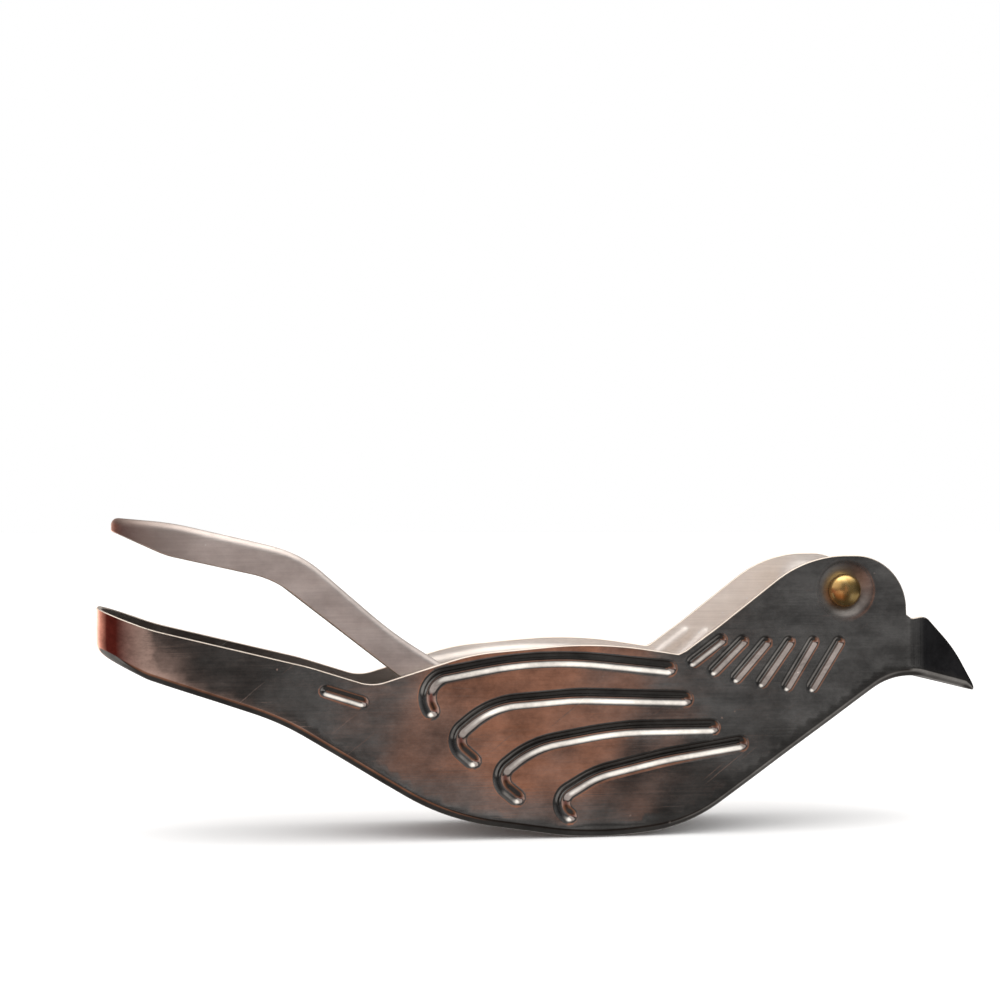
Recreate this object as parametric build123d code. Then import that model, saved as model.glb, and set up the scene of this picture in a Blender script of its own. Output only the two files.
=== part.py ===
from build123d import *
import os

# A hand-held citrus squeezer in the shape of a bird. One drawn sheet makes the trough: head, belly,
# beak spout and tail handle. One folded strip makes the lever. A capped rivet through the eyes is
# the pivot. +X runs from tail to beak, +Z is up, the pivot lies along Y. Millimetres.

# Sheet and widths
SHEET = 0.7
BODY_WIDTH = 20.0
LEVER_WIDTH = 16.2
FOLD_RADIUS = 1.2          # outer radius of every fold between a floor or web and its walls

# Ends of the trough and of the lever
TAIL_X, BEAK_X = -65.2, 65.5
LEVER_TIP_X = -63.2
WEB_END_X = 17.0           # the lever's web stops here, and its flanges go on as two arms
PAST_ENDS = 70.0           # an x beyond every piece
ABOVE, BELOW = 60.0, -20.0  # heights beyond every piece

# Pivot through the eyes
PIVOT_X, PIVOT_Z = 41.7, 34.8
SHANK_RADIUS = 1.2
EAR_CLEARANCE = 0.05

# Dished seat of each eye, and the two rivet heads
DISH_RADIUS, DISH_DEPTH = 3.7, 0.8
EYE_RADIUS, EYE_HEIGHT = 2.4, 1.8
CAP_SOCKET_DEPTH = 1.1

# Pressed lines in the walls
WING_HALF_WIDTH, WING_DEPTH = 0.95, 0.6
NECK_HALF_WIDTH, NECK_DEPTH = 0.7, 0.45

# Outlines seen from the side. Each corner is x, z and the radius that rounds it.
UNDERSIDE = [
    (-PAST_ENDS, 29.2, 0.0),
    (-58.0, 23.1, 10.0),
    (-39.8, 16.9, 40.0),
    (-16.9, 2.9, 35.0),
    (4.2, -0.456, 50.0),
    (18.3, 1.15, 22.0),
    (49.8, 23.0, 10.0),
    (PAST_ENDS, 18.0, 0.0),
]
TOP_EDGE = [
    (PAST_ENDS, 13.3, 0.0),
    (60.5, 25.9, 25.0),
    (54.3, 31.0, 2.5),
    (51.0, 30.6, 0.6),
    (50.6, 39.9, 7.8),
    (35.9, 39.9, 17.5),
    (22.5, 29.7, 30.0),
    (17.0, 25.8, 0.8),
    (5.0, 27.7, 60.0),
    (-13.2, 26.2, 30.0),
    (-27.2, 21.9, 6.0),
    (-36.0, 24.7, 40.0),
    (-57.5, 30.0, 30.0),
    (-PAST_ENDS, 34.6, 0.0),
]
WEB = [
    (-PAST_ENDS, 46.0, 0.0),
    (-55.0, 44.7, 40.0),
    (-37.1, 40.5, 16.0),
    (-24.0, 29.1, 60.0),
    (-5.0, 17.0, 30.0),
    (PAST_ENDS, 12.5, 0.0),
]
FLANGE_EDGE = [
    (WEB_END_X, 8.44, 0.0),
    (5.0, 5.4, 25.0),
    (-13.4, 9.2, 5.0),
    (-20.5, 21.0, 8.0),
    (-40.8, 36.8, 14.0),
    (-55.5, 40.1, 12.0),
    (-PAST_ENDS, 46.4, 0.0),
]

ARM = [
    (12.0, 7.18, 0.0),
    (20.3, 9.28, 3.0),
    (46.2, 34.8, 3.1),
    (41.7, 39.3, 3.1),
    (WEB_END_X, 14.5, 0.0),
    (12.0, 14.5, 0.0),
]

# Outlines seen from above, the half with positive y
BODY_PLAN = [
    (TAIL_X, BODY_WIDTH / 2, 7.5),
    (53.0, BODY_WIDTH / 2, 5.0),
    (BEAK_X, 1.7, 1.6),
]
LEVER_PLAN = [
    (LEVER_TIP_X, LEVER_WIDTH / 2, 6.5),
    (WEB_END_X + 10.0, LEVER_WIDTH / 2, 0.0),
]

# Centre lines of the pressed lines, seen from the side
WING_LINES = [
    [(-19.0, 18.3, 0.0), (-21.0, 22.6, 3.2), (-3.0, 25.8, 60.0), (15.2, 23.8, 0.0)],
    [(-13.1, 11.2, 0.0), (-16.5, 14.2, 2.2), (-10.5, 19.1, 12.0), (2.0, 20.0, 40.0), (17.6, 19.4, 0.0)],
    [(-6.8, 5.9, 0.0), (-10.3, 8.8, 2.2), (-4.6, 13.2, 14.0), (8.0, 15.3, 50.0), (21.6, 15.3, 0.0)],
    [(0.7, 3.2, 0.0), (-1.9, 5.2, 2.0), (4.6, 9.0, 14.0), (15.0, 11.3, 50.0), (25.8, 12.9, 0.0)],
]
NECK_LINES = [
    [(18.7, 24.7, 0.0), (22.9, 27.8, 0.0)],
    [(21.8, 23.4, 0.0), (26.1, 27.6, 0.0)],
    [(25.1, 22.3, 0.0), (29.6, 27.4, 0.0)],
    [(28.9, 21.6, 0.0), (33.1, 27.4, 0.0)],
    [(32.7, 21.0, 0.0), (36.7, 27.4, 0.0)],
    [(36.5, 20.8, 0.0), (40.6, 27.3, 0.0)],
]
TAIL_LINE = [(-33.7, 21.3, 0.0), (-28.7, 19.7, 0.0)]

WALL_Y = BODY_WIDTH / 2
SEAT_Y = WALL_Y - DISH_DEPTH


def rounded_face(corners):
    """The face inside a closed outline."""
    points = [corner[:2] for corner in corners]
    radii = [corner[2] for corner in corners]
    return make_face(FilletPolyline(*points, radius=radii, close=True))


def side_face(line, closing_height):
    """The face between a line seen from the side and a level at closing_height."""
    (first_x, _, _), (last_x, _, _) = line[0], line[-1]
    closing = [(last_x, closing_height, 0.0), (first_x, closing_height, 0.0)]
    return Plane.XZ * rounded_face(line + closing)


def plan_face(half):
    """The face seen from above, mirrored about the X axis."""
    other_half = [(x, -y, radius) for x, y, radius in reversed(half)]
    return rounded_face(half + other_half)


def fold_edges(block, open_height):
    """The edges where a block's floor meets its upright walls."""
    level = [f for f in block.faces() if abs(f.normal_at(f.center()).Z) > 0.1]
    floor = [f for f in level if abs(f.center().Z - open_height) > 1.0]
    edges = [e for f in floor for e in f.edges()]
    return [e for e in edges if edges.count(e) == 1]


def tub(line, open_height, half_plan, inset):
    """A solid with a shaped floor and upright walls, rounded where they meet."""
    side, plan = side_face(line, open_height), plan_face(half_plan)
    if inset:
        side, plan = offset(side, -inset), offset(plan, -inset)
    across = extrude(side, BODY_WIDTH, both=True)
    upright = extrude(Pos(0, 0, BELOW) * plan, ABOVE - BELOW)
    block = across & upright
    return fillet(fold_edges(block, open_height), FOLD_RADIUS - inset)


def sheet_tub(line, open_height, half_plan):
    """A tub of one sheet thickness, open at open_height."""
    return tub(line, open_height, half_plan, 0.0) - tub(line, open_height, half_plan, SHEET)


def rod(path, radius):
    """A round rod along a path, with round ends."""
    section = Plane(origin=path @ 0, z_dir=path % 0) * Circle(radius)
    ends = [Pos(*(path @ t)) * Sphere(radius) for t in (0, 1)]
    return sweep(section, path) + ends


def pressed_line(corners, half_width, depth):
    """The groove outside the near wall and the ridge inside it."""
    groove_radius = (half_width**2 + depth**2) / (2 * depth)
    axis_y = WALL_Y + groove_radius - depth
    points = [corner[:2] for corner in corners]
    radii = [corner[2] for corner in corners[1:-1]]
    line = Line(*points) if len(points) == 2 else FilletPolyline(*points, radius=radii)
    path = Plane.XZ.offset(axis_y) * line
    groove = rod(path, groove_radius)
    ridge = rod(path, groove_radius + SHEET)
    inward = Pos(0, SHEET / 2, 0) * Box(4 * PAST_ENDS, BODY_WIDTH, 4 * PAST_ENDS)
    return groove, ridge & inward


def eye_dish():
    """The hollow outside the near wall's eye and the boss inside it."""
    def cone(wide, deep):
        shape = Cone(wide, wide - deep, deep, align=(Align.CENTER, Align.CENTER, Align.MIN))
        return Pos(PIVOT_X, 0, PIVOT_Z) * Rot(-90, 0, 0) * shape

    boss_radius = DISH_RADIUS + (2**0.5 - 1) * SHEET
    hollow = Pos(0, -WALL_Y, 0) * cone(DISH_RADIUS, DISH_DEPTH)
    boss = Pos(0, -WALL_Y + SHEET, 0) * cone(boss_radius, DISH_DEPTH)
    return hollow, boss


def pivot_rod(radius, length):
    """A round bar on the pivot, centred between the walls."""
    return Pos(PIVOT_X, 0, PIVOT_Z) * Rot(90, 0, 0) * Cylinder(radius, length)


def bird_body():
    below_top_edge = extrude(side_face(TOP_EDGE, BELOW), BODY_WIDTH, both=True)
    shell = sheet_tub(UNDERSIDE, ABOVE, BODY_PLAN) & below_top_edge
    marks = [pressed_line(line, WING_HALF_WIDTH, WING_DEPTH) for line in WING_LINES]
    marks += [pressed_line(line, NECK_HALF_WIDTH, NECK_DEPTH) for line in NECK_LINES + [TAIL_LINE]]
    marks.append(eye_dish())
    for _, ridge in marks:
        shell += [ridge, mirror(ridge, Plane.XZ)]
    for hollow, _ in marks:
        shell -= [hollow, mirror(hollow, Plane.XZ)]
    return shell - pivot_rod(SHANK_RADIUS, 2 * BODY_WIDTH)


def lever_arms():
    """Two flat arms from the press shoe up to the pivot."""
    outline = Plane.XZ * rounded_face(ARM)
    whole = extrude(outline, LEVER_WIDTH / 2, both=True)
    return whole - extrude(outline, LEVER_WIDTH / 2 - SHEET, both=True)


def press_lever():
    above_flange_edge = extrude(side_face(FLANGE_EDGE, ABOVE), BODY_WIDTH, both=True)
    channel = sheet_tub(WEB, BELOW, LEVER_PLAN) & above_flange_edge
    return channel + lever_arms() - pivot_rod(SHANK_RADIUS + EAR_CLEARANCE, 2 * BODY_WIDTH)


def turned(*lines):
    """A solid of revolution about the pivot from a half section in r and y."""
    return Pos(PIVOT_X, 0, PIVOT_Z) * revolve(make_face(Curve() + list(lines)), Axis.Y)


def eye_rivet():
    """Domed head and plain shank."""
    top, seat, end = -SEAT_Y - EYE_HEIGHT, -SEAT_Y, SEAT_Y + CAP_SOCKET_DEPTH
    dome_radius = (EYE_RADIUS**2 + EYE_HEIGHT**2) / (2 * EYE_HEIGHT)
    dome = RadiusArc((0, top), (EYE_RADIUS, seat), -dome_radius)
    shank = Polyline((EYE_RADIUS, seat), (SHANK_RADIUS, seat), (SHANK_RADIUS, end), (0, end), (0, top))
    return turned(dome, shank)


def rivet_cap():
    """Domed cap with a blind hole for the shank."""
    top, seat, end = SEAT_Y + EYE_HEIGHT, SEAT_Y, SEAT_Y + CAP_SOCKET_DEPTH
    dome_radius = (EYE_RADIUS**2 + EYE_HEIGHT**2) / (2 * EYE_HEIGHT)
    dome = RadiusArc((0, top), (EYE_RADIUS, seat), dome_radius)
    socket = Polyline((EYE_RADIUS, seat), (SHANK_RADIUS, seat), (SHANK_RADIUS, end), (0, end), (0, top))
    return turned(dome, socket)


os.makedirs("parts", exist_ok=True)
for make in (bird_body, press_lever, eye_rivet, rivet_cap):
    export_step(make(), f"parts/{make.__name__}.step")
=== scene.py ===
import math

import bpy
import numpy as np
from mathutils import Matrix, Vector
from mathutils.geometry import delaunay_2d_cdt


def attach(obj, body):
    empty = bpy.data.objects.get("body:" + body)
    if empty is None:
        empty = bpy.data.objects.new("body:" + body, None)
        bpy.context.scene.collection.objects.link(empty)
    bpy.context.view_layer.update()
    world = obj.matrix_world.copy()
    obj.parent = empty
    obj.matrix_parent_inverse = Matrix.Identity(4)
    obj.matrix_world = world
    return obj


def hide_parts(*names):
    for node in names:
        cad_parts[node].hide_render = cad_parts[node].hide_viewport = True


# The looks of a bird-shaped citrus squeezer. Each piece of steel is one sheet: its outer and inner
# faces are meshed with the same points, and a rounded cut edge joins them. Shapes are in
# millimetres, seen from the side as x and z, and become metres when a mesh is made.

MM = 0.001
MIRROR_Y = np.array((1, -1, 1))

# Sheet
SHEET = 0.7
FOLD_RADIUS = 1.2           # outer radius of every fold
TROUGH_FOLD_SHARE = 0.45    # a fold's largest radius, as a share of the wall's height there
LEVER_FOLD_SHARE = 0.55
EDGE_RADIUS = 0.16          # the rounding of each cut edge
EDGE_SHARE = 0.4            # that rounding's largest radius, as a share of the sheet
SHORTEST_WALL = 0.35
THINNEST_TIP = 0.25         # the inner face stays this far above the floor where the beak runs out
PAST_ENDS = 70.0            # an x beyond every piece

# How finely the sheet is meshed
EDGE_STEPS = 4
FOLD_STEPS = 8
SAGITTA = 0.003             # how far a rounded corner's runs may leave the true arc
PLAN_SAGITTA = 0.0003       # finer for outlines seen from above, which also give the walls' directions
PLAN_SPACING = 0.1
EDGE_SPACING = 0.8          # longest run along an outline
SHORTEST_RUN = 0.15         # shortest run along the top edge
FILL_SPACING = 1.1          # spacing of the points inside a panel
FILL_CLEAR = 0.6            # least distance of such a point from the others, in spacings
OUTLINE_CLEAR = 0.35        # least distance of a detail point from an outline
DETAIL_SPACING = 0.45       # along the pressed lines and round the dish
HOLE_SPACING = 0.3          # round the trough's hole
EAR_SPACING = 0.4           # round the lever's hole
TURNING = 0.02              # a wall that turns more than this for each millimetre gets columns
COLUMN_TOP, COLUMN_DEPTH, COLUMN_STEP = 0.5, 8.0, 0.9   # their points' depths below the top edge

# The ends curve, and the walls run straight between them
STERN_X, BEAK_ROOT_X = -56.0, 48.0
STERN_STATIONS, SIDE_STATIONS, BEAK_STATIONS = 36, 132, 40
LEVER_END_STATIONS, LEVER_SIDE_STATIONS = 34, 92
END_CLEAR = 0.5             # the top edge's own points stop this far short of the ends
TIP_TO_X = -57.0            # the flange's lower edge is meshed at the stations up to here
FREE_FROM_X = -56.6         # and at its own points from here on

# Slight unevenness of the pressed sheet: how deep, and for each wave its two pitches and its start
UNEVEN = 0.06
WAVES = [(17.0, 31.0, 0.4), (-29.0, 15.0, 2.1), (11.0, -22.0, 4.0), (43.0, 9.5, 1.2)]

# Pivot and eyes
PIVOT_X, PIVOT_Z = 41.7, 34.8
SHANK_RADIUS = 1.2
EAR_HOLE_RADIUS, EAR_RING_RADIUS = 1.25, 1.8
DISH_FLOOR_RADIUS, DISH_RADIUS, DISH_DEPTH = 1.7, 4.4, 0.8
DISH_RINGS, DISH_MARGIN = 10, 0.6   # rings of points, out to this far past the dish's rim
EYE_RADIUS, EYE_HEIGHT = 2.4, 1.8
EYE_RIM = 0.25              # height of a rivet head's upright rim
EYE_FLATTENING = 0.9        # below 1, a head's top is flatter than an ellipse
EYE_FIRST_TURN, EYE_ROWS = 6, 15    # degrees from the top of a head, and rows from there to its rim
MATT_TO, POLISHED_FROM, MATT_ROUGHNESS = 3.6, 5.0, 0.42     # radii round the pivot, and how matt
TURN_STEPS = 64             # sides of a turned piece
SEAT_Y = 9.2
SHANK_PAST_SEAT, SHANK_CHAMFER = 1.0, 0.15
CAP_SOCKET_DEPTH = 1.1

# Pressed lines
WING_HALF_WIDTH, WING_DEPTH = 1.1, 0.6
NECK_HALF_WIDTH, NECK_DEPTH = 0.85, 0.45
GROOVE_ROWS = 5             # rows of points from a line's middle to its side
FLAT_ROWS = (0.3, 0.7)      # two more rows on the flat, this far outside the line
END_TURNS = np.radians(np.linspace(-60, 60, 5))     # where a line's end has points
RIDGE_SPREAD = 0.35         # a ridge inside the wall is this much wider than its groove outside

# Outlines seen from the side. Each corner is x, z and the radius that rounds it.
UNDERSIDE = [
    (-70.0, 29.2, 0.0),
    (-58.0, 23.1, 10.0),
    (-39.8, 16.9, 40.0),
    (-16.9, 2.9, 35.0),
    (4.2, -0.456, 50.0),
    (18.3, 1.15, 22.0),
    (49.8, 23.0, 10.0),
    (70.0, 18.0, 0.0),
]
TOP_EDGE = [
    (-70.0, 34.6, 0.0),
    (-57.5, 30.0, 30.0),
    (-36.0, 24.7, 40.0),
    (-27.2, 21.9, 6.0),
    (-13.2, 26.2, 30.0),
    (5.0, 27.7, 60.0),
    (17.0, 25.8, 0.8),
    (22.5, 29.7, 30.0),
    (35.9, 39.9, 17.5),
    (50.6, 39.9, 7.8),
    (51.0, 30.6, 0.6),
    (54.3, 31.0, 2.5),
    (60.5, 25.9, 25.0),
    (70.0, 13.3, 0.0),
]
WEB = [
    (-70.0, 46.0, 0.0),
    (-55.0, 44.7, 40.0),
    (-37.1, 40.5, 16.0),
    (-24.0, 29.1, 60.0),
    (-5.0, 17.0, 30.0),
    (70.0, 12.5, 0.0),
]
FLANGE_EDGE = [
    (-70.0, 46.4, 0.0),
    (-55.5, 40.1, 12.0),
    (-40.8, 36.8, 14.0),
    (-20.5, 21.0, 8.0),
    (-13.4, 9.2, 5.0),
    (5.0, 5.4, 25.0),
    (20.3, 9.28, 3.0),
    (46.2, 34.8, 3.1),
    (41.7, 39.3, 3.1),
    (17.0, 14.5, 0.0),
]
WEB_END_X = 17.0            # the web stops here, and the flanges go on as two arms

# Outlines seen from above, the half with positive y, from the tail's middle to the beak's
BODY_PLAN = [
    (-65.2, 0.0, 0.0),
    (-65.2, 10.0, 7.5),
    (53.0, 10.0, 5.0),
    (65.1, 1.7, 1.5),
    (65.1, 0.0, 0.0),
]
LEVER_PLAN = [
    (-63.2, 0.0, 0.0),
    (-63.2, 8.1, 6.5),
    (60.0, 8.1, 0.0),
]

# Middles of the pressed lines, seen from the side
WING_LINES = [
    [(-19.0, 18.3, 0.0), (-21.0, 22.6, 3.2), (-3.0, 25.8, 60.0), (15.2, 23.8, 0.0)],
    [(-13.1, 11.2, 0.0), (-16.5, 14.2, 2.2), (-10.5, 19.1, 12.0), (2.0, 20.0, 40.0), (17.6, 19.4, 0.0)],
    [(-6.8, 5.9, 0.0), (-10.3, 8.8, 2.2), (-4.6, 13.2, 14.0), (8.0, 15.3, 50.0), (21.6, 15.3, 0.0)],
    [(0.7, 3.2, 0.0), (-1.9, 5.2, 2.0), (4.6, 9.0, 14.0), (15.0, 11.3, 50.0), (25.8, 12.9, 0.0)],
]
NECK_LINES = [
    [(18.7, 24.7, 0.0), (22.9, 27.8, 0.0)],
    [(21.8, 23.4, 0.0), (26.1, 27.6, 0.0)],
    [(25.1, 22.3, 0.0), (29.6, 27.4, 0.0)],
    [(28.9, 21.6, 0.0), (33.1, 27.4, 0.0)],
    [(32.7, 21.0, 0.0), (36.7, 27.4, 0.0)],
    [(36.5, 20.8, 0.0), (40.6, 27.3, 0.0)],
]
TAIL_LINE = [(-33.7, 21.3, 0.0), (-28.7, 19.7, 0.0)]

# Material slots of a sheet's faces
OUTSIDE, INSIDE, CUT_EDGE = 0, 1, 2

# Camera, in metres and degrees
CAMERA_PLACE = (-0.05432, -0.2757, 0.04503)
CAMERA_TURN, CAMERA_RISE = 9.632, 0.598
CAMERA_LENS, SENSOR = 68.94, 36.0


def unit(v):
    """A flat vector's direction."""
    return v / np.hypot(*v)


def spaced(points, longest):
    """The same line with its long runs divided."""
    out = [points[0]]
    for a, b in zip(points, points[1:]):
        runs = max(1, math.ceil(np.hypot(*(b - a)) / longest))
        out += [a + (b - a) * k / runs for k in range(1, runs)] + [b]
    return np.array(out)


def rounded(corners, longest=EDGE_SPACING, sagitta=SAGITTA):
    """Points along an open line of corners, each rounded to its radius."""
    points = []
    for i, (a, b, radius) in enumerate(corners):
        here = np.array((a, b))
        if radius == 0:
            points.append(here)
            continue
        back = unit(np.array(corners[i - 1][:2]) - here)
        on = unit(np.array(corners[i + 1][:2]) - here)
        half_turn = (math.pi - math.acos(np.clip(back @ on, -1, 1))) / 2
        centre = here + unit(back + on) * radius / math.cos(half_turn)
        start = here + back * radius * math.tan(half_turn) - centre
        side = math.copysign(1.0, back[0] * on[1] - back[1] * on[0])
        steps = max(4, math.ceil(half_turn / math.acos(1 - sagitta / radius)))
        for k in range(steps + 1):
            turn = -side * 2 * half_turn * k / steps
            c, s = math.cos(turn), math.sin(turn)
            points.append(centre + (c * start[0] - s * start[1], s * start[0] + c * start[1]))
    return spaced(np.array(points), longest)


def height_line(corners):
    """A function that gives z at x along a line seen from the side."""
    line = rounded(corners)
    return lambda x: np.interp(x, line[:, 0], line[:, 1])


class Plan:
    """The upright walls' outline seen from above. Along a straight side, s is the same as x."""

    def __init__(self, corners):
        self.line = rounded(corners, PLAN_SPACING, PLAN_SAGITTA)
        runs = np.hypot(*np.diff(self.line, axis=0).T)
        length = np.concatenate(([0.0], np.cumsum(runs)))
        self.s = length - np.interp(0.0, self.line[:, 0], length)
        along = np.gradient(self.line, self.s, axis=0)
        along /= np.hypot(*along.T)[:, None]
        self.outward = np.stack((-along[:, 1], along[:, 0]), axis=1)

    def at(self, s):
        """Point and outward direction at s."""
        point = np.stack([np.interp(s, self.s, self.line[:, k]) for k in (0, 1)], axis=1)
        outward = np.stack([np.interp(s, self.s, self.outward[:, k]) for k in (0, 1)], axis=1)
        return point, outward / np.hypot(*outward.T)[:, None]

    def where(self, x):
        """s at x."""
        return np.interp(x, self.line[:, 0], self.s)


def distance(points, line):
    """How far each point is from a line of points."""
    nearest = np.full(len(points), 1e9)
    for a, b in zip(line, line[1:]):
        run = b - a
        share = np.clip((points - a) @ run / (run @ run), 0, 1)
        nearest = np.minimum(nearest, np.hypot(*(points - a - share[:, None] * run).T))
    return nearest


def swell(share):
    """1 at the middle, falling smoothly to 0 at 1 and beyond."""
    return np.cos(np.clip(share, 0, 1) * math.pi / 2) ** 2


def inside(points, outline):
    """Which points lie within a closed outline."""
    x, y = points.T
    hit = np.zeros(len(points), bool)
    for (x1, y1), (x2, y2) in zip(outline, np.roll(outline, -1, axis=0)):
        if y1 != y2:
            crosses = (y1 > y) != (y2 > y)
            hit ^= crosses & (x < x1 + (x2 - x1) * (y - y1) / (y2 - y1))
    return hit


def thinned(points, kept, least):
    """The points that are at least that far from every kept point."""
    far = [p for p in points if np.min(np.hypot(*(kept - p).T)) > least]
    return np.array(far).reshape(-1, 2)


def panel(outline, detail, hole=None):
    """Triangles that fill a closed outline, finer where there are detail points."""
    low, high = outline.min(axis=0), outline.max(axis=0)
    grid = np.stack(np.meshgrid(*(np.arange(a, b, FILL_SPACING) for a, b in zip(low, high))), -1)
    grid[1::2, :, 0] += FILL_SPACING / 2
    grid = grid.reshape(-1, 2)
    detail = detail[inside(detail, outline)] if len(detail) else detail.reshape(-1, 2)
    detail = detail[distance(detail, np.vstack((outline, outline[:1]))) > OUTLINE_CLEAR]
    kept = np.vstack((outline, detail))
    grid = thinned(grid[inside(grid, outline)], kept, FILL_SPACING * FILL_CLEAR)
    points = np.vstack((kept, grid))
    count = len(outline)
    edges = [(i, (i + 1) % count) for i in range(count)]
    given = [tuple(p) for p in points]
    found, _, faces, origins, _, _ = delaunay_2d_cdt(given, edges, [], 1, 1e-6)
    points = np.array([given[o[0]] if o else tuple(p) for p, o in zip(found, origins)])
    faces = np.array([f[:3] for f in faces])
    if hole is not None:
        centre, radius = hole
        middles = points[faces].mean(axis=1)
        faces = faces[np.hypot(*(middles - centre).T) > radius]
    a, b, c = (points[faces[:, k]] for k in range(3))
    clockwise = np.cross(b - a, c - a) < 0
    faces[clockwise] = faces[clockwise][:, ::-1]
    return points, faces


def rings(centre, radii, spacing):
    """Circles of points about a centre."""
    out = []
    for radius in radii:
        count = max(12, round(2 * math.pi * radius / spacing))
        turn = np.arange(count) * 2 * math.pi / count
        out.append(centre + radius * np.stack((np.cos(turn), np.sin(turn)), axis=1))
    return np.vstack(out)


def groove_points(line, half_width):
    """Rows of points along a pressed line and round its ends, with two rows on the flat beside it."""
    line = spaced(line, DETAIL_SPACING)
    along = np.gradient(line, axis=0)
    along /= np.hypot(*along.T)[:, None]
    across = np.stack((-along[:, 1], along[:, 0]), axis=1)
    out = [line]
    reaches = [half_width * k / GROOVE_ROWS for k in range(1, GROOVE_ROWS + 1)]
    for reach in reaches + [half_width + beyond for beyond in FLAT_ROWS]:
        out += [line + across * reach, line - across * reach]
        for end, outward in ((line[0], -along[0]), (line[-1], along[-1])):
            c, s = np.cos(END_TURNS), np.sin(END_TURNS)
            out.append(end + reach * np.stack(
                (c * outward[0] - s * outward[1], s * outward[0] + c * outward[1]), axis=1))
    return np.vstack(out)


def upright_points(plan, stations, top):
    """Columns of points where the wall turns, as high as top."""
    outward = plan.at(stations)[1]
    turning = np.hypot(*np.gradient(outward, stations, axis=0).T) > TURNING
    columns = [[(s, high - k) for k in np.arange(COLUMN_TOP, COLUMN_DEPTH, COLUMN_STEP)]
               for s, high in zip(stations[turning], top[turning])]
    return np.array(columns).reshape(-1, 2)


class Sheet:
    """One sheet of metal: the same points outside and inside, and triangles that face outward."""

    def __init__(self):
        self.outer, self.inner, self.faces = [], [], []
        self.count = 0

    def add(self, outer, inner, faces):
        """One panel."""
        self.outer.append(outer)
        self.inner.append(inner)
        self.faces.append(np.asarray(faces) + self.count)
        self.count += len(outer)

    def add_both_sides(self, outer, inner, faces):
        """The panel and its mirror image about y = 0."""
        self.add(outer, inner, faces[:, ::-1])
        self.add(outer * MIRROR_Y, inner * MIRROR_Y, faces)

    def welded(self):
        """All panels as one surface: outer points, inner points and faces."""
        outer, inner = np.vstack(self.outer), np.vstack(self.inner)
        faces = np.vstack(self.faces)
        _, first, same = np.unique(
            np.round(outer, 3), axis=0, return_index=True, return_inverse=True)
        faces = same.ravel()[faces]
        a, b, c = faces.T
        whole = (a != b) & (b != c) & (a != c)
        return outer[first], inner[first], faces[whole]


def open_loops(faces):
    """The closed chains of edges that have a face on one side only."""
    edges = np.vstack((faces[:, :2], faces[:, 1:], faces[:, [2, 0]]))
    known = {(int(a), int(b)) for a, b in edges}
    following = {a: b for a, b in known if (b, a) not in known}
    loops = []
    while following:
        start, here = following.popitem()
        loop = [start, here]
        while here in following:
            here = following.pop(here)
            loop.append(here)
        loops.append(loop[:-1])
    return loops


def triangle_normals(points, faces):
    """The way a surface of triangles faces at its points."""
    normals = np.zeros_like(points)
    for k in range(3):
        here, after, before = (points[faces[:, (k + j) % 3]] for j in range(3))
        across = np.cross(after - here, before - here)
        length = np.linalg.norm(across, axis=1)
        angle = np.arctan2(length, np.sum((after - here) * (before - here), axis=1))
        np.add.at(normals, faces[:, k], across * (angle / np.maximum(length, 1e-12))[:, None])
    return normals / np.maximum(np.linalg.norm(normals, axis=1), 1e-12)[:, None]


def uneven(points):
    """How far behind its true place the sheet lies at points of it."""
    waves = [np.sin(points[:, 0] * 2 * math.pi / along + points[:, 2] * 2 * math.pi / up + start)
             for along, up, start in WAVES]
    return UNEVEN * (0.5 + 0.5 * sum(waves) / len(waves))


def edge_rows(out, thickness, facing):
    """Rows of points round a cut edge, from the outer face to the inner one. facing is the way the
    outer face looks along the edge."""
    depth = np.linalg.norm(thickness, axis=1)[:, None]
    through = thickness / depth
    along = np.roll(out, -1, axis=0) - np.roll(out, 1, axis=0)
    inward = np.cross(facing, along)
    inward /= np.linalg.norm(inward, axis=1)[:, None]
    radius = np.minimum(EDGE_RADIUS, depth * EDGE_SHARE)
    turns = [math.pi / 2 * k / EDGE_STEPS for k in range(EDGE_STEPS + 1)]
    rows = []
    for turn in turns:
        set_in = inward * radius * (1 - math.sin(turn))
        rows.append(out + set_in + through * radius * (1 - math.cos(turn)))
    for turn in reversed(turns):
        set_in = inward * radius * (1 - math.sin(turn))
        rows.append(out + set_in + through * (depth - radius * (1 - math.cos(turn))))
    return rows


def sheet_mesh(name, sheet):
    """The sheet as a closed mesh, with rounded cut edges."""
    outer, inner, faces = sheet.welded()
    normals = triangle_normals(outer, faces)
    behind = normals * uneven(outer)[:, None]
    outer, inner = outer - behind, inner - behind
    rim_points, rim_faces = [], []
    total = 2 * len(outer)
    for loop in open_loops(faces):
        loop = np.array(loop)
        rows = edge_rows(outer[loop], inner[loop] - outer[loop], normals[loop])
        outer[loop], inner[loop] = rows[0], rows[-1]
        count = len(loop)
        middle_rows = [total + count * k + np.arange(count) for k in range(len(rows) - 2)]
        ids = [loop] + middle_rows + [loop + len(outer)]
        total += count * (len(rows) - 2)
        rim_points += rows[1:-1]
        for near, far in zip(ids, ids[1:]):
            rim_faces.append(np.stack((np.roll(near, -1), near, far, np.roll(far, -1)), axis=1))
    points = np.vstack([outer, inner] + rim_points)
    inside_faces = faces[:, ::-1] + len(outer)
    rim_faces = np.vstack(rim_faces)
    all_faces = faces.tolist() + inside_faces.tolist() + rim_faces.tolist()
    kinds = [OUTSIDE] * len(faces) + [INSIDE] * len(faces) + [CUT_EDGE] * len(rim_faces)
    flats = np.vstack((triangle_normals(outer, faces), triangle_normals(inner, faces[:, ::-1])))
    return mesh_object(name, points, all_faces, kinds, flats)


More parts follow.
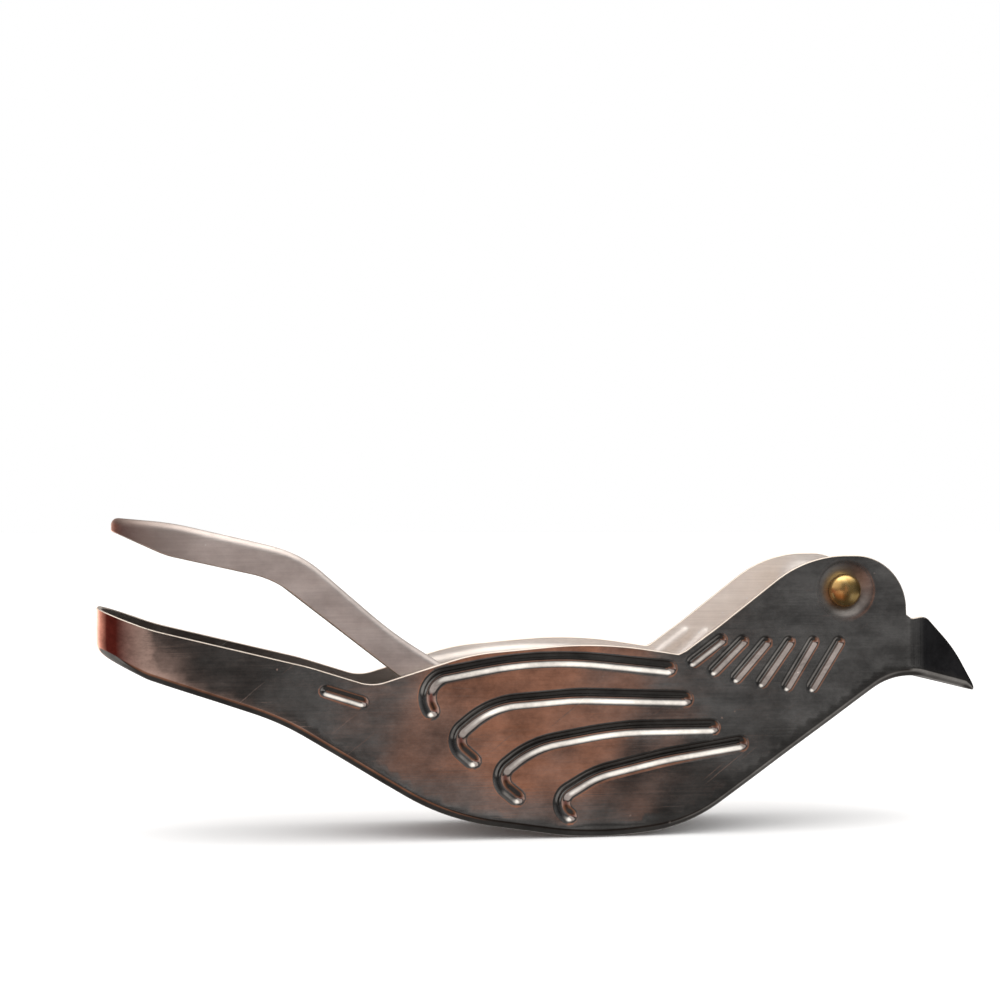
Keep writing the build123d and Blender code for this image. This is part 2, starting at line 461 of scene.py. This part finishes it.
def mesh_object(name, points, faces, kinds=None, normals=None):
    """A smooth-shaded object from points in millimetres. kinds gives each face's material slot, and
    normals the way the first points face."""
    mesh = bpy.data.meshes.new(name)
    mesh.from_pydata((points * MM).tolist(), [], faces)
    if kinds:
        mesh.polygons.foreach_set("material_index", kinds)
    mesh.validate()
    mesh.shade_smooth()
    if normals is not None:
        facing = np.empty(len(points) * 3)
        mesh.vertices.foreach_get("normal", facing)
        facing = facing.reshape(-1, 3)
        facing[:len(normals)] = normals
        mesh.normals_split_custom_set_from_vertices(facing.tolist())
    piece = bpy.data.objects.new(name, mesh)
    bpy.context.scene.collection.objects.link(piece)
    return piece


def at_wall(plan, s, z, depth):
    """Points a depth behind the outline's upright surface."""
    point, outward = plan.at(s)
    return np.column_stack((point - outward * np.reshape(depth, (-1, 1)), z))


def steepness(line):
    """A function that gives the length of the line's surface for each unit of x."""
    x = np.arange(-PAST_ENDS, PAST_ENDS, PLAN_SPACING)
    length = np.sqrt(1 + np.gradient(line(x), PLAN_SPACING) ** 2)
    return lambda at: np.interp(at, x, length)


def fold_strip(plan, stations, line, radius, side):
    """Rows from a wall round its fold, outside and inside. side is 1 over a floor, -1 under a web."""
    steep = steepness(line)
    inner_radius = np.maximum(radius - SHEET, 0.0)
    outer_rows, inner_rows = [], []
    for turn in np.linspace(0, math.pi / 2, FOLD_STEPS + 1):
        outer = at_wall(plan, stations, stations, radius * (1 - math.cos(turn)))
        outer[:, 2] = line(outer[:, 0]) + side * radius * (1 - math.sin(turn))
        inner = at_wall(plan, stations, stations, SHEET + inner_radius * (1 - math.cos(turn)))
        rise = SHEET * steep(inner[:, 0]) + inner_radius * (1 - math.sin(turn))
        inner[:, 2] = line(inner[:, 0]) + side * rise
        outer_rows.append(outer)
        inner_rows.append(inner)
    count = len(stations)
    faces = []
    for k in range(FOLD_STEPS):
        for i in range(count - 1):
            a = k * count + i
            faces += [(a, a + count, a + 1), (a + 1, a + count, a + count + 1)]
    faces = np.array(faces)[:, ::side]
    return np.vstack(outer_rows), np.vstack(inner_rows), faces


def level_panel(boundary, line, side):
    """The floor or web that fills a boundary seen from above."""
    flat, faces = panel(boundary, np.empty((0, 2)))
    height = line(flat[:, 0])
    outer = np.column_stack((flat, height))
    inner = np.column_stack((flat, height + side * SHEET * steepness(line)(flat[:, 0])))
    return outer, inner, faces[:, ::-side]


def pressed_depth(points, spread):
    """How deep the pressed lines and the eye's dish are at points of the trough's wall."""
    depth = np.zeros(len(points))
    groups = (
        (WING_LINES, WING_HALF_WIDTH, WING_DEPTH),
        (NECK_LINES + [TAIL_LINE], NECK_HALF_WIDTH, NECK_DEPTH),
    )
    for lines, half_width, deepest in groups:
        for line in lines:
            share = distance(points, rounded(line)) / (half_width + spread)
            depth = np.maximum(depth, deepest * swell(share))
    from_eye = np.hypot(*(points - (PIVOT_X, PIVOT_Z)).T)
    share = (from_eye - DISH_FLOOR_RADIUS) / (DISH_RADIUS + spread - DISH_FLOOR_RADIUS)
    return np.maximum(depth, DISH_DEPTH * swell(share))


def trough_wall(plan, stations, radius, floor, top):
    """The near wall's panel: its pressed lines, the eye's dish and the shank's hole."""
    edge = rounded(TOP_EDGE)[:, 0]
    edge = edge[(edge > BODY_PLAN[0][0] + END_CLEAR) & (edge < BODY_PLAN[-1][0] - END_CLEAR)]
    s = np.unique(np.concatenate((stations, plan.where(edge))))
    x = plan.at(s)[0][:, 0]
    upper = np.column_stack((s, np.maximum(top(x), floor(x) + SHORTEST_WALL)))
    lower = np.column_stack((stations, floor(plan.at(stations)[0][:, 0]) + radius))
    upper_z = upper[:, 1]
    keep = np.concatenate(([True], np.hypot(*np.diff(upper, axis=0).T) > SHORTEST_RUN))
    keep[-2:] = (False, True)
    upper = spaced(upper[keep], EDGE_SPACING)
    tail_end = spaced(np.array((lower[0], upper[0])), EDGE_SPACING)[1:-1]
    outline = np.vstack((lower, upper[::-1], tail_end[::-1]))
    eye = np.array((PIVOT_X, PIVOT_Z))
    detail = [upright_points(plan, stations, np.interp(stations, s, upper_z))]
    detail += [groove_points(rounded(line), WING_HALF_WIDTH) for line in WING_LINES]
    detail += [groove_points(rounded(line), NECK_HALF_WIDTH) for line in NECK_LINES + [TAIL_LINE]]
    detail.append(rings(eye, (SHANK_RADIUS,), HOLE_SPACING))
    dish_radii = np.linspace(DISH_FLOOR_RADIUS, DISH_RADIUS + DISH_MARGIN, DISH_RINGS)
    detail.append(rings(eye, dish_radii, DETAIL_SPACING))
    flat, faces = panel(outline, np.vstack(detail), (eye, SHANK_RADIUS))
    outer = at_wall(plan, flat[:, 0], flat[:, 1], pressed_depth(flat, 0.0))
    inner = at_wall(plan, flat[:, 0], flat[:, 1], SHEET + pressed_depth(flat, RIDGE_SPREAD))
    return outer, inner, faces


def trough_mesh():
    """The bird's trough: two walls, their fold and the floor."""
    plan = Plan(BODY_PLAN)
    floor, top = height_line(UNDERSIDE), height_line(TOP_EDGE)
    stations = np.concatenate((
        np.linspace(plan.s[0], STERN_X, STERN_STATIONS)[:-1],
        np.linspace(STERN_X, BEAK_ROOT_X, SIDE_STATIONS)[:-1],
        np.linspace(BEAK_ROOT_X, plan.s[-1], BEAK_STATIONS)))
    x = plan.at(stations)[0][:, 0]
    tall = np.maximum(top(x) - floor(x), SHORTEST_WALL)
    radius = np.minimum(FOLD_RADIUS, TROUGH_FOLD_SHARE * tall)
    sheet = Sheet()
    sheet.add_both_sides(*trough_wall(plan, stations, radius, floor, top))
    sheet.add_both_sides(*fold_strip(plan, stations, floor, radius, 1))
    side = at_wall(plan, stations, x, radius)[:, :2]
    boundary = np.vstack((side * (1, -1), side[::-1][1:-1]))
    sheet.add(*level_panel(boundary, floor, 1))
    for inner in sheet.inner:
        x = inner[:, 0]
        highest = np.maximum(top(x), floor(x) + THINNEST_TIP)
        inner[:, 2] = np.minimum(inner[:, 2], highest)
    return sheet_mesh("bird_trough", sheet)


def lever_flange(plan, stations, radius, web):
    """One flange with its arm up to the pivot."""
    edge = rounded(FLANGE_EDGE)
    rising = edge[:np.argmax(edge[:, 0] > WEB_END_X)]
    x = plan.at(stations)[0][:, 0]
    fold = np.column_stack((stations, web(x) - radius))
    tip = stations < plan.where(TIP_TO_X)
    lower = np.column_stack((stations[tip], np.interp(x[tip], *rising.T)))
    free = edge[edge[:, 0] > FREE_FROM_X][:-1]
    lower = np.vstack((lower, np.column_stack((plan.where(free[:, 0]), free[:, 1])), fold[-1]))
    lower = spaced(lower, EDGE_SPACING)[:-1]
    outline = np.vstack((lower, fold[::-1]))
    eye = np.array((PIVOT_X, PIVOT_Z))
    detail = rings(eye, (EAR_HOLE_RADIUS, EAR_RING_RADIUS), EAR_SPACING)
    flat, faces = panel(outline, detail, (eye, EAR_HOLE_RADIUS))
    outer = at_wall(plan, flat[:, 0], flat[:, 1], 0.0)
    inner = at_wall(plan, flat[:, 0], flat[:, 1], SHEET)
    return outer, inner, faces


def lever_mesh():
    """The press lever: a web, its folds, and two flanges that go on as arms."""
    plan = Plan(LEVER_PLAN)
    web, edge = height_line(WEB), rounded(FLANGE_EDGE)
    stations = np.concatenate((
        np.linspace(plan.s[0], STERN_X, LEVER_END_STATIONS)[:-1],
        np.linspace(STERN_X, WEB_END_X, LEVER_SIDE_STATIONS)))
    x = plan.at(stations)[0][:, 0]
    rising = edge[:np.argmax(edge[:, 0] > WEB_END_X + 1)]
    tall = web(x) - np.interp(x, *rising.T)
    radius = np.minimum(FOLD_RADIUS, LEVER_FOLD_SHARE * tall)
    sheet = Sheet()
    sheet.add_both_sides(*lever_flange(plan, stations, radius, web))
    sheet.add_both_sides(*fold_strip(plan, stations, web, radius, -1))
    side = at_wall(plan, stations, x, radius)[:, :2]
    end = spaced(np.array((side[-1] * (1, -1), side[-1])), EDGE_SPACING)[1:-1]
    boundary = np.vstack((side * (1, -1), end, side[::-1][:-1]))
    sheet.add(*level_panel(boundary, web, -1))
    return sheet_mesh("press_strip", sheet)


def turned_mesh(name, profile, facing):
    """A closed turned piece on the pivot from a profile of (radius, y), both ends on the axis."""
    count = TURN_STEPS
    turn = np.arange(count) * 2 * math.pi / count
    rows = [np.column_stack((
        PIVOT_X + r * np.cos(turn), np.full(count, facing * y), PIVOT_Z + r * np.sin(turn)))
        for r, y in profile[1:-1]]
    ends = [np.array([(PIVOT_X, facing * y, PIVOT_Z)]) for _, y in (profile[0], profile[-1])]
    points = np.vstack(rows + ends)
    faces = []
    for k in range(len(rows) - 1):
        for i in range(count):
            a, b = k * count + i, k * count + (i + 1) % count
            faces.append((a, b, b + count, a + count))
    first, last = len(points) - 2, len(points) - 1
    base = (len(rows) - 1) * count
    for i in range(count):
        j = (i + 1) % count
        faces += [(first, j, i), (last, base + i, base + j)]
    if facing < 0:
        faces = [f[::-1] for f in faces]
    return mesh_object(name, points, faces)


def dome():
    """A rivet head's profile from its top to its seat, with a slightly flattened top."""
    out = [(0.0, SEAT_Y + EYE_HEIGHT)]
    for turn in np.radians(np.linspace(EYE_FIRST_TURN, 90, EYE_ROWS)):
        above_rim = (EYE_HEIGHT - EYE_RIM) * math.cos(turn) ** EYE_FLATTENING
        out.append((EYE_RADIUS * math.sin(turn), SEAT_Y + EYE_RIM + above_rim))
    # The rim turns in a little towards the seat.
    out.append((EYE_RADIUS - 0.03, SEAT_Y + EYE_RIM * 0.4))
    out.append((EYE_RADIUS - 0.15, SEAT_Y))
    return out


def near_rivet():
    """The near eye's domed head, and the shank across the trough with a chamfered end."""
    shank_end = -SEAT_Y - SHANK_PAST_SEAT
    profile = dome()
    profile += [(SHANK_RADIUS, SEAT_Y), (SHANK_RADIUS, shank_end + SHANK_CHAMFER)]
    profile += [(SHANK_RADIUS - SHANK_CHAMFER, shank_end), (0.0, shank_end)]
    return turned_mesh("near_eye_rivet", profile, -1)


def far_cap():
    """The far eye's domed cap, with a blind hole for the shank."""
    socket_end = SEAT_Y + CAP_SOCKET_DEPTH
    profile = dome()
    profile += [(SHANK_RADIUS, SEAT_Y), (SHANK_RADIUS, socket_end), (0.0, socket_end)]
    return turned_mesh("far_eye_cap", profile, 1)


class Nodes:
    """A short way to add shader nodes and link them."""

    def __init__(self, tree):
        self.tree = tree
        tree.nodes.clear()

    def add(self, kind, inputs=None, **settings):
        """A node whose inputs are each given another node's output or a plain value."""
        node = self.tree.nodes.new(kind)
        for key, value in settings.items():
            setattr(node, key, value)
        for key, value in (inputs or {}).items():
            if isinstance(value, bpy.types.NodeSocket):
                self.tree.links.new(value, node.inputs[key])
            else:
                node.inputs[key].default_value = value
        return node

    def noise(self, place, stretch, detail=4.0, roughness=0.55, offset=(0.0, 0.0, 0.0)):
        """Noise that is finer along an axis where stretch is larger, from 0 to 1."""
        moved = self.add("ShaderNodeMapping", {"Vector": place, "Scale": stretch, "Location": offset})
        return self.add("ShaderNodeTexNoise", {
            "Vector": moved.outputs[0], "Scale": 1.0,
            "Detail": detail, "Roughness": roughness}).outputs[0]

    def range(self, value, low, high, to_low=0.0, to_high=1.0):
        """The value from low to high, spread over to_low to to_high."""
        return self.add("ShaderNodeMapRange", {
            "Value": value, "From Min": low, "From Max": high,
            "To Min": to_low, "To Max": to_high}, clamp=True).outputs[0]

    def math(self, operation, a, b):
        """The result of an operation on two values."""
        return self.add("ShaderNodeMath", {0: a, 1: b}, operation=operation).outputs[0]

    def blend(self, share, a, b):
        """Colour a where share is 0, b where it is 1."""
        return self.add("ShaderNodeMix", {0: share, 6: a, 7: b}, data_type="RGBA").outputs[2]


def rgb(red, green, blue):
    """An opaque colour, linear."""
    return (red, green, blue, 1.0)


def wear(n, place):
    """Where a sheet has fine scratches, small specks, and specks that shine."""
    level = n.noise(place, (90.0, 90.0, 3800.0), 2.0, 0.5, (1.0, 5.0, 2.0))
    tilted = n.add("ShaderNodeMapping", {"Vector": place, "Rotation": (0.0, math.radians(38), 0.0)})
    slanting = n.noise(tilted.outputs[0], (60.0, 60.0, 3300.0), 2.0, 0.5)
    scratches = n.math("MAXIMUM", n.range(level, 0.70, 0.76), n.range(slanting, 0.72, 0.78))
    cells = n.add("ShaderNodeTexVoronoi", {"Vector": place, "Scale": 520.0}, feature="F1")
    chance = n.add("ShaderNodeSeparateColor", {"Color": cells.outputs["Color"]})
    size = n.range(chance.outputs[0], 0.82, 1.0, 0.0, 0.1)
    specks = n.math("LESS_THAN", cells.outputs["Distance"], size)
    shining = n.math("MULTIPLY", specks, n.math("GREATER_THAN", chance.outputs[1], 0.4))
    return scratches, specks, shining


def matt_round_rivet(n, place, rough):
    """The roughness, raised in the eye's dish."""
    side_on = n.add("ShaderNodeMapping", {"Vector": place, "Scale": (1.0, 0.0, 1.0)})
    rivet = (PIVOT_X * MM, 0.0, PIVOT_Z * MM)
    from_rivet = n.add("ShaderNodeVectorMath", {0: side_on.outputs[0], 1: rivet}, operation="DISTANCE")
    radius = from_rivet.outputs["Value"]
    matt = n.range(radius, MATT_TO * MM, POLISHED_FROM * MM, MATT_ROUGHNESS, 0.0)
    return n.math("MAXIMUM", rough, matt)


def steel(name, dark, light, polish, streaks, bump, haze, painted_dark_end=None):
    """Worn steel sheet. polish is its lowest and highest roughness, streaks the share of rolling lines,
    and haze the share of light that a fine film scatters. The last argument gives two x in metres, and
    a dark colour painted over the steel from the second to the first: painted shade and painted
    reflection."""
    material = bpy.data.materials.new(name)
    material.use_nodes = True
    n = Nodes(material.node_tree)
    place = n.add("ShaderNodeTexCoord").outputs["Object"]
    rolled = n.noise(place, (55.0, 2600.0, 2600.0), 5.0, 0.65)
    clouds = n.noise(place, (140.0, 140.0, 210.0), 5.0, 0.68)
    smears = n.noise(place, (150.0, 480.0, 480.0), 4.0, 0.6, (3.0, 1.0, 7.0))
    scratches, specks, shining = wear(n, place)

    tone = n.math("ADD", n.math("MULTIPLY", n.range(rolled, 0.3, 0.7), streaks),
                  n.math("MULTIPLY", n.range(clouds, 0.32, 0.68), 1.0 - streaks))
    colour = n.blend(tone, rgb(*dark), rgb(*light))
    # Painted shade and painted reflection: a flat dark colour laid over the steel towards one end, in
    # cloudy patches.
    if painted_dark_end:
        x = n.add("ShaderNodeSeparateXYZ", {"Vector": place}).outputs[0]
        near, far, painted_dark = painted_dark_end
        cloudy = n.range(clouds, 0.2, 0.5, 0.75, 1.0)
        reach = n.math("MULTIPLY", n.range(x, near, far, 1.0, 0.0), cloudy)
        colour = n.blend(reach, colour, rgb(*painted_dark))
    colour = n.blend(n.math("MULTIPLY", scratches, 0.4), colour, rgb(0.80, 0.78, 0.75))
    colour = n.blend(n.math("MULTIPLY", specks, 0.5), colour, rgb(0.16, 0.14, 0.13))
    colour = n.blend(shining, colour, rgb(0.85, 0.82, 0.80))

    rough = n.math("ADD", n.range(smears, 0.3, 0.72, *polish),
                   n.math("MULTIPLY", n.range(rolled, 0.3, 0.7), 0.04))
    marks = n.math("MAXIMUM", scratches, specks)
    rough = n.math("ADD", rough, n.math("MULTIPLY", marks, 0.15))
    rough = matt_round_rivet(n, place, rough)

    height = n.math("ADD", n.math("MULTIPLY", rolled, 0.5), n.math("MULTIPLY", scratches, -0.25))
    height = n.math("ADD", height, n.math("MULTIPLY", specks, -0.4))
    grain = n.add("ShaderNodeBump", {"Strength": bump, "Distance": 0.00002, "Height": height})
    surface = n.add("ShaderNodeBsdfPrincipled", {
        "Base Color": colour, "Metallic": 1.0 - haze, "Roughness": rough, "Normal": grain.outputs[0]})
    n.add("ShaderNodeOutputMaterial", {"Surface": surface.outputs[0]})
    return material


def trough_outside():
    """Polished sheet."""
    return steel(
        "trough_outside", dark=(0.26, 0.253, 0.248), light=(0.74, 0.725, 0.71),
        polish=(0.035, 0.10), streaks=0.18, bump=0.25, haze=0.0)


def trough_inside():
    """Drawn and left matt, with painted shade darkening it towards the tail."""
    return steel(
        "trough_inside", dark=(0.70, 0.645, 0.605), light=(0.96, 0.90, 0.855),
        polish=(0.32, 0.44), streaks=0.5, bump=0.6, haze=0.42,
        painted_dark_end=(-0.045, -0.008, (0.11, 0.095, 0.085)))


def lever_outside():
    """Satin sheet, with a painted dark brown reflection darkening it at the tip."""
    return steel(
        "lever_outside", dark=(0.46, 0.41, 0.395), light=(0.80, 0.735, 0.705),
        polish=(0.28, 0.48), streaks=0.3, bump=0.6, haze=0.2,
        painted_dark_end=(-0.063, -0.050, (0.11, 0.062, 0.048)))


def cut_edge():
    """The sheared edge of a sheet: bare sheared steel, lighter than the faces, with its colour raised
    and warmed further as a painted highlight along the rims.
    """
    return steel(
        "cut_edge", dark=(0.70, 0.62, 0.55), light=(0.93, 0.87, 0.80),
        polish=(0.26, 0.4), streaks=0.5, bump=0.5, haze=0.1)


def brass():
    """Polished brass, a little tarnished, with small dark pits."""
    material = bpy.data.materials.new("brass")
    material.use_nodes = True
    n = Nodes(material.node_tree)
    place = n.add("ShaderNodeTexCoord").outputs["Object"]
    tarnish = n.noise(place, (900.0, 900.0, 900.0), 4.0, 0.6)
    spots = n.noise(place, (2600.0, 2600.0, 2600.0), 3.0, 0.6, (4.0, 2.0, 0.0))
    colour = n.blend(n.range(tarnish, 0.35, 0.7), rgb(0.93, 0.68, 0.30), rgb(0.74, 0.48, 0.17))
    colour = n.blend(n.range(spots, 0.62, 0.75, 0.0, 0.4), colour, rgb(0.24, 0.13, 0.05))
    rough = n.range(tarnish, 0.3, 0.75, 0.22, 0.36)
    worn = n.add("ShaderNodeBump", {"Strength": 0.25, "Distance": 0.00003, "Height": spots})
    surface = n.add("ShaderNodeBsdfPrincipled", {
        "Base Color": colour, "Metallic": 1.0, "Roughness": rough, "Normal": worn.outputs[0]})
    n.add("ShaderNodeOutputMaterial", {"Surface": surface.outputs[0]})
    return material


def floor():
    """A plain pale floor under the belly."""
    half = 6.0
    corners = [(-half, -half, 0), (half, -half, 0), (half, half, 0), (-half, half, 0)]
    mesh = bpy.data.meshes.new("floor")
    mesh.from_pydata(corners, [], [(0, 1, 2, 3)])
    plane = bpy.data.objects.new("floor", mesh)
    bpy.context.scene.collection.objects.link(plane)
    material = bpy.data.materials.new("floor")
    material.use_nodes = True
    n = Nodes(material.node_tree)
    surface = n.add("ShaderNodeBsdfDiffuse", {"Color": rgb(0.90, 0.895, 0.89)})
    n.add("ShaderNodeOutputMaterial", {"Surface": surface.outputs[0]})
    mesh.materials.append(material)
    plane.visible_glossy = False


class Studio(Nodes):
    """The studio that reflections see, by direction. turn is in degrees from -Y towards +X, and z is
    the sine of the elevation."""

    def __init__(self, tree):
        super().__init__(tree)
        way = self.add("ShaderNodeTexCoord").outputs["Generated"]
        x, y, self.z = self.add("ShaderNodeSeparateXYZ", {"Vector": way}).outputs[:3]
        from_front = self.math("ARCTAN2", x, self.math("MULTIPLY", y, -1.0))
        self.turn = self.math("MULTIPLY", from_front, 180 / math.pi)
        self.clouds = self.noise(way, (26.0, 26.0, 40.0), 4.0, 0.6)
        self.ragged = self.noise(way, (32.0, 32.0, 34.0), 4.0, 0.6, (0.35, 0.0, 0.2))

    def both(self, a, b):
        """Where two shares overlap."""
        return self.math("MULTIPLY", a, b)

    def window(self, value, start, rise, fall, end):
        """1 from rise to fall, and 0 before start and after end."""
        return self.both(self.range(value, start, rise), self.range(value, fall, end, 1.0, 0.0))

    def patch(self, turns, heights):
        """How far a soft ragged patch covers a direction."""
        core = self.both(self.window(self.turn, *turns), self.window(self.z, *heights))
        ragged = self.math("ADD", core, self.math("MULTIPLY", self.ragged, 1.4))
        return self.range(ragged, 1.0, 1.35)

    def room(self):
        """Grey walls, lighter with height, and a bright ceiling."""
        height = self.range(self.z, -0.05, 0.45)
        walls = self.blend(height, rgb(0.19, 0.18, 0.175), rgb(0.36, 0.33, 0.31))
        return self.blend(self.range(self.z, 0.5, 0.94), walls, rgb(2.2, 2.08, 1.93))

    def left(self):
        """Warm light from the left: pale in front, deep red beside, and brightest behind."""
        turn = self.turn
        deep_red, orange = rgb(0.17, 0.028, 0.02), rgb(1.2, 0.50, 0.36)
        colour = self.blend(self.range(turn, -106.0, -132.0), deep_red, orange)
        colour = self.blend(self.range(turn, -132.0, -160.0), colour, rgb(2.4, 1.6, 1.3))
        return self.blend(self.range(turn, -78.0, -14.0), colour, rgb(0.64, 0.43, 0.36))

    def front(self):
        """A cloudy dark front that darkens to the right, with a grey patch low down and a brown one."""
        turn, z = self.turn, self.z
        colour = self.blend(
            self.range(self.clouds, 0.35, 0.68), rgb(0.04, 0.039, 0.039), rgb(0.26, 0.255, 0.25))
        colour = self.blend(self.range(turn, 22.0, 84.0, 0.0, 0.9), colour, rgb(0.012, 0.012, 0.014))
        colour = self.blend(self.range(turn, 4.5, 2.0, 0.0, 0.75), colour, rgb(0.04, 0.034, 0.031))
        low_right = self.both(self.range(turn, 12.0, 14.5, 0.0, 0.75), self.range(z, -0.105, -0.13))
        colour = self.blend(low_right, colour, rgb(0.04, 0.038, 0.036))
        grey_patch = self.patch((3.0, 8.0, 11.0, 13.0), (-0.22, -0.19, -0.15, -0.125))
        colour = self.blend(grey_patch, colour, rgb(0.25, 0.205, 0.19))
        brown = self.blend(
            self.range(self.clouds, 0.4, 0.6), rgb(0.52, 0.225, 0.135), rgb(0.36, 0.20, 0.15))
        brown_patch = self.patch((4.5, 9.3, 12.5, 14.5), (-0.152, -0.132, 0.2, 0.5))
        return self.blend(brown_patch, colour, brown)

    def with_sides(self):
        """The room, with the warm left and the dark front up to a height, and a tall pale panel."""
        turn, z = self.turn, self.z
        left_turn = self.window(turn, -180.0, -170.0, 125.0, 150.0)
        left_height = self.range(z, 0.1, 0.42, 1.0, 0.0)
        seen = self.blend(self.both(left_turn, left_height), self.room(), self.left())
        # The front reaches further round to the left above the horizon.
        widened = self.math("ADD", turn, self.range(z, -0.055, 0.02, 0.0, 60.0))
        front_turn = self.both(self.range(widened, -2.6, 0.4), self.range(turn, 125.0, 150.0, 1.0, 0.0))
        front_height = self.range(z, 0.4, 0.85, 1.0, 0.0)
        seen = self.blend(self.both(front_turn, front_height), seen, self.front())
        panel_turn = self.window(turn, -115.0, -85.0, -25.0, -5.0)
        panel_height = self.window(z, 0.1, 0.25, 0.6, 0.85)
        return self.blend(self.both(panel_turn, panel_height), seen, rgb(0.66, 0.57, 0.53))

    def whole(self):
        """All of it: under the horizon, brown to the front and left, grey to the sides, dark below."""
        turn, z = self.turn, self.z
        brown_turn = self.window(turn, -70.0, -40.0, 1.0, 3.5)
        under = self.blend(brown_turn, rgb(0.025, 0.018, 0.015), rgb(0.32, 0.145, 0.085))
        seen = self.blend(self.range(z, -0.2, -0.4), self.with_sides(), under)
        from_middle = self.math("ABSOLUTE", self.math("ADD", turn, 22.0), 0.0)
        aside = self.both(self.range(from_middle, 47.0, 60.0), self.range(z, -0.16, -0.24))
        seen = self.blend(aside, seen, rgb(0.30, 0.285, 0.27))
        return self.blend(self.range(z, -0.5, -0.8), seen, rgb(0.06, 0.056, 0.053))


def surroundings():
    """A white backdrop, even light on matt surfaces, and a studio for reflections to see."""
    world = bpy.data.worlds.new("studio")
    bpy.context.scene.world = world
    world.use_nodes = True
    n = Studio(world.node_tree)
    path = n.add("ShaderNodeLightPath")
    lit = n.blend(path.outputs["Is Diffuse Ray"], n.whole(), rgb(1.25, 1.25, 1.25))
    colour = n.blend(path.outputs["Is Camera Ray"], lit, rgb(1.0, 1.0, 1.0))
    light = n.add("ShaderNodeBackground", {"Color": colour, "Strength": 1.0})
    n.add("ShaderNodeOutputWorld", {"Surface": light.outputs[0]})


def soft_light(name, place, target, size, power):
    """A square area light at a place, turned to a target, that leaves no spot in reflections."""
    data = bpy.data.lights.new(name, "AREA")
    data.size = size
    data.energy = power
    light = bpy.data.objects.new(name, data)
    bpy.context.scene.collection.objects.link(light)
    light.location = place
    light.visible_glossy = False
    light.rotation_euler = (Vector(target) - Vector(place)).to_track_quat("-Z", "Y").to_euler()


def camera():
    """A long lens in front of the tail, level with the raised lever, turned a little to the head."""
    data = bpy.data.cameras.new("camera")
    data.lens, data.sensor_width = CAMERA_LENS, SENSOR
    data.clip_start, data.clip_end = 0.01, 50.0
    view = bpy.data.objects.new("camera", data)
    view.location = CAMERA_PLACE
    view.rotation_euler = (math.radians(90 + CAMERA_RISE), 0.0, math.radians(-CAMERA_TURN))
    bpy.context.scene.collection.objects.link(view)
    bpy.context.scene.camera = view


def dress(piece, body, nodes, materials):
    """Puts a piece in the frame: its body, the CAD nodes it stands for and its materials."""
    for material in materials:
        piece.data.materials.append(material)
    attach(piece, body)
    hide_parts(*nodes)


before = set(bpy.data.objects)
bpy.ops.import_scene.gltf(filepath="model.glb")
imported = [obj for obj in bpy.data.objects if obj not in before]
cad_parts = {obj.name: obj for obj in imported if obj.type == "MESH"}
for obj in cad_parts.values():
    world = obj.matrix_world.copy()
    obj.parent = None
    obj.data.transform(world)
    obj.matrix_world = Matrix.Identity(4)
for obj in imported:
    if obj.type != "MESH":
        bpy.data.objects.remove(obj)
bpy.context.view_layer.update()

inside_steel, edge_steel, yellow = trough_inside(), cut_edge(), brass()
trough_materials = [trough_outside(), inside_steel, edge_steel]
lever_materials = [lever_outside(), inside_steel, edge_steel]

dress(trough_mesh(), "trough", ["bird_body"], trough_materials)
dress(lever_mesh(), "lever", ["press_lever"], lever_materials)
dress(near_rivet(), "trough", ["eye_rivet"], [yellow])
dress(far_cap(), "trough", ["rivet_cap"], [yellow])

floor()
surroundings()
soft_light("front_above", place=(0.05, -0.45, 0.85), target=(0.0, 0.0, 0.02), size=1.3, power=6.0)
camera()
bpy.context.scene.view_settings.view_transform = "Standard"
